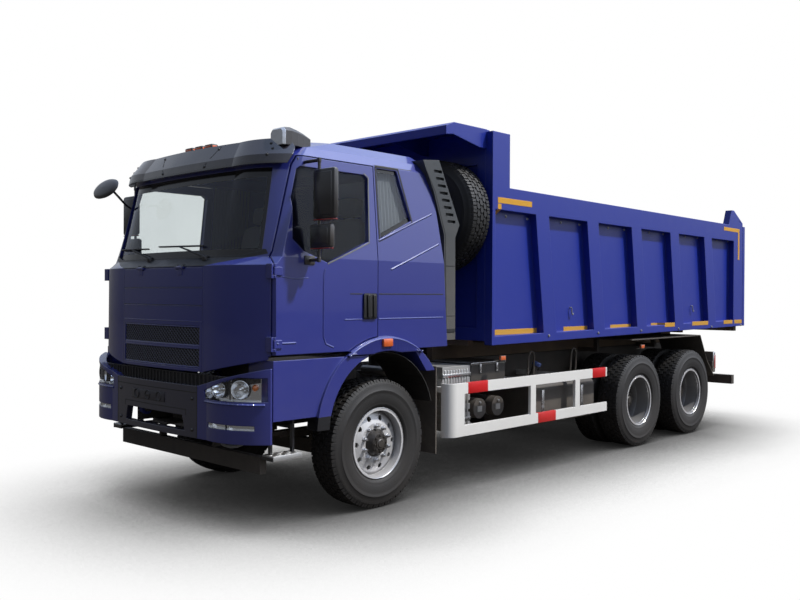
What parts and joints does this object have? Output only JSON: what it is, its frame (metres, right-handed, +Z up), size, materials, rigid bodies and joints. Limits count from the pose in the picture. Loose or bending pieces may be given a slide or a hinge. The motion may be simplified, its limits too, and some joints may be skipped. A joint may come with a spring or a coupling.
{
  "type": "dump truck",
  "caption": "Heavy rigid tipper truck with a tilting forward-control cab and a rear-tipping box body raised by a front telescopic hoist.",
  "frame": {"origin": "on the ground under the centre of the overall box", "axes": "+X forward towards the bumper, +Y to the truck's left, +Z up"},
  "size_m": [8.76, 3.104, 3.37],
  "materials": {
    "cab_paint": "violet-blue gloss paint, light dust",
    "body_paint": "cobalt blue gloss paint, scuffed",
    "black_plastic": "moulded, matt black",
    "grey_plastic": "moulded, dark grey",
    "smoke_visor": "smoked, glossy",
    "window_glass": "clear with a slight grey tint",
    "lamp_lens": "clear and amber lenses",
    "tyre_rubber": "worn road rubber with dust",
    "rim_silver": "silver paint, dusty",
    "frame_paint": "black chassis paint with road dirt",
    "cast_axle": "black, oily and dusty",
    "spring_steel": "dark, dirty",
    "hoist_chrome": "ground and polished tube",
    "hoist_paint": "black paint",
    "guard_white": "white with red bands, dusty",
    "tank_grey": "black paint, dusty",
    "alloy": "ribbed heat shield, dull",
    "mirror_case": "moulded, matt black",
    "interior_grey": "grey trim and seat cloth"
  },
  "bodies": {
    "chassis": {"chassis_frame": "frame_paint", "axles": "cast_axle", "leaf_springs": "spring_steel", "powertrain": "cast_axle", "front_bumper": "cab_paint", "tow_jaw": "frame_paint", "lamps": "lamp_lens", "underrun_bars": "frame_paint", "entry_steps": "cab_paint", "tanks": "tank_grey", "silencer": "alloy", "side_guards": "guard_white", "mudguards": "black_plastic", "spare_wheel": "tyre_rubber"},
    "left_knuckle": {"knuckle_left": "cast_axle"},
    "right_knuckle": {"knuckle_right": "cast_axle"},
    "front_left_wheel": {"front_left_tyre": "tyre_rubber", "front_left_rim": "rim_silver"},
    "front_right_wheel": {"front_right_tyre": "tyre_rubber", "front_right_rim": "rim_silver"},
    "middle_left_wheels": {"middle_left_tyres": "tyre_rubber", "middle_left_rims": "rim_silver"},
    "middle_right_wheels": {"middle_right_tyres": "tyre_rubber", "middle_right_rims": "rim_silver"},
    "rear_left_wheels": {"rear_left_tyres": "tyre_rubber", "rear_left_rims": "rim_silver"},
    "rear_right_wheels": {"rear_right_tyres": "tyre_rubber", "rear_right_rims": "rim_silver"},
    "cab": {"cab_shell": "cab_paint", "cab_glass": "window_glass", "visor": "smoke_visor", "cab_interior": "interior_grey", "snorkel": "grey_plastic", "front_mirror": "mirror_case"},
    "panel": {"front_panel": "cab_paint"},
    "left_door": {"door_left": "cab_paint", "door_left_glass": "window_glass", "mirror_left": "mirror_case"},
    "right_door": {"door_right": "cab_paint", "door_right_glass": "window_glass", "mirror_right": "mirror_case"},
    "load_body": {"bed_floor": "body_paint", "bed_side_left": "body_paint", "bed_side_right": "body_paint", "headboard": "body_paint"},
    "gate": {"tailgate": "body_paint"},
    "hoist_inner": {"hoist_rod": "hoist_chrome"},
    "hoist_first": {"hoist_stage_1": "hoist_chrome"},
    "hoist_second": {"hoist_stage_2": "hoist_chrome"},
    "hoist_outer": {"hoist_cover": "hoist_paint"}
  },
  "joints": [
    {"name": "steer_left", "type": "hinge", "parent": "chassis", "child": "left_knuckle", "pos_m": [2.93, 0.86, 0.542], "axis": [0, 0, 1], "range_deg": [-35, 35]},
    {"name": "steer_right", "type": "hinge", "parent": "chassis", "child": "right_knuckle", "pos_m": [2.93, -0.86, 0.542], "axis": [0, 0, 1], "range_deg": [-35, 35]},
    {"name": "front_left_spin", "type": "hinge", "parent": "left_knuckle", "child": "front_left_wheel", "pos_m": [2.93, 1.02, 0.542], "axis": [0, 1, 0], "continuous": true},
    {"name": "front_right_spin", "type": "hinge", "parent": "right_knuckle", "child": "front_right_wheel", "pos_m": [2.93, -1.02, 0.542], "axis": [0, 1, 0], "continuous": true},
    {"name": "middle_left_spin", "type": "hinge", "parent": "chassis", "child": "middle_left_wheels", "pos_m": [-1.37, 0.924, 0.542], "axis": [0, 1, 0], "continuous": true},
    {"name": "middle_right_spin", "type": "hinge", "parent": "chassis", "child": "middle_right_wheels", "pos_m": [-1.37, -0.924, 0.542], "axis": [0, 1, 0], "continuous": true},
    {"name": "rear_left_spin", "type": "hinge", "parent": "chassis", "child": "rear_left_wheels", "pos_m": [-2.72, 0.924, 0.542], "axis": [0, 1, 0], "continuous": true},
    {"name": "rear_right_spin", "type": "hinge", "parent": "chassis", "child": "rear_right_wheels", "pos_m": [-2.72, -0.924, 0.542], "axis": [0, 1, 0], "continuous": true},
    {"name": "cab_tilt", "type": "hinge", "parent": "chassis", "child": "cab", "pos_m": [4.25, 0, 0.82], "axis": [0, 1, 0], "range_deg": [0, 45]},
    {"name": "front_panel_lift", "type": "hinge", "parent": "cab", "child": "panel", "pos_m": [4.32132, 0, 1.99825], "axis": [0, -1, 0], "range_deg": [0, 90]},
    {"name": "left_door_swing", "type": "hinge", "parent": "cab", "child": "left_door", "pos_m": [4.1165, 1.246, 1.69], "axis": [0, 0, -1], "range_deg": [0, 70]},
    {"name": "right_door_swing", "type": "hinge", "parent": "cab", "child": "right_door", "pos_m": [4.1165, -1.246, 1.69], "axis": [0, 0, 1], "range_deg": [0, 70]},
    {"name": "body_tip", "type": "hinge", "parent": "chassis", "child": "load_body", "pos_m": [-3.69, 0, 1.06], "axis": [0, -1, 0], "range_deg": [0, 45]},
    {"name": "tailgate_swing", "type": "hinge", "parent": "load_body", "child": "gate", "pos_m": [-4.2, 0, 2.84], "axis": [0, 1, 0], "range_deg": [0, 60]},
    {"name": "hoist_lean", "type": "hinge", "parent": "chassis", "child": "hoist_inner", "pos_m": [1.81, 0, 0.87], "axis": [0, -1, 0], "range_deg": [0, 24]},
    {"name": "hoist_reach_1", "type": "slide", "parent": "hoist_inner", "child": "hoist_first", "axis": [0, 0, 1], "range_m": [0, 1.39]},
    {"name": "hoist_reach_2", "type": "slide", "parent": "hoist_first", "child": "hoist_second", "axis": [0, 0, 1], "range_m": [0, 1.39]},
    {"name": "hoist_reach_3", "type": "slide", "parent": "hoist_second", "child": "hoist_outer", "axis": [0, 0, 1], "range_m": [0, 1.39]}
  ],
  "couplings": [
    {"joint": "steer_right", "follows": "steer_left", "ratio": 1},
    {"joint": "hoist_lean", "follows": "body_tip", "ratio": 0.5253},
    {"joint": "hoist_reach_1", "follows": "body_tip", "m_per_rad": 1.7666},
    {"joint": "hoist_reach_2", "follows": "body_tip", "m_per_rad": 1.7666},
    {"joint": "hoist_reach_3", "follows": "body_tip", "m_per_rad": 1.7666}
  ]
}
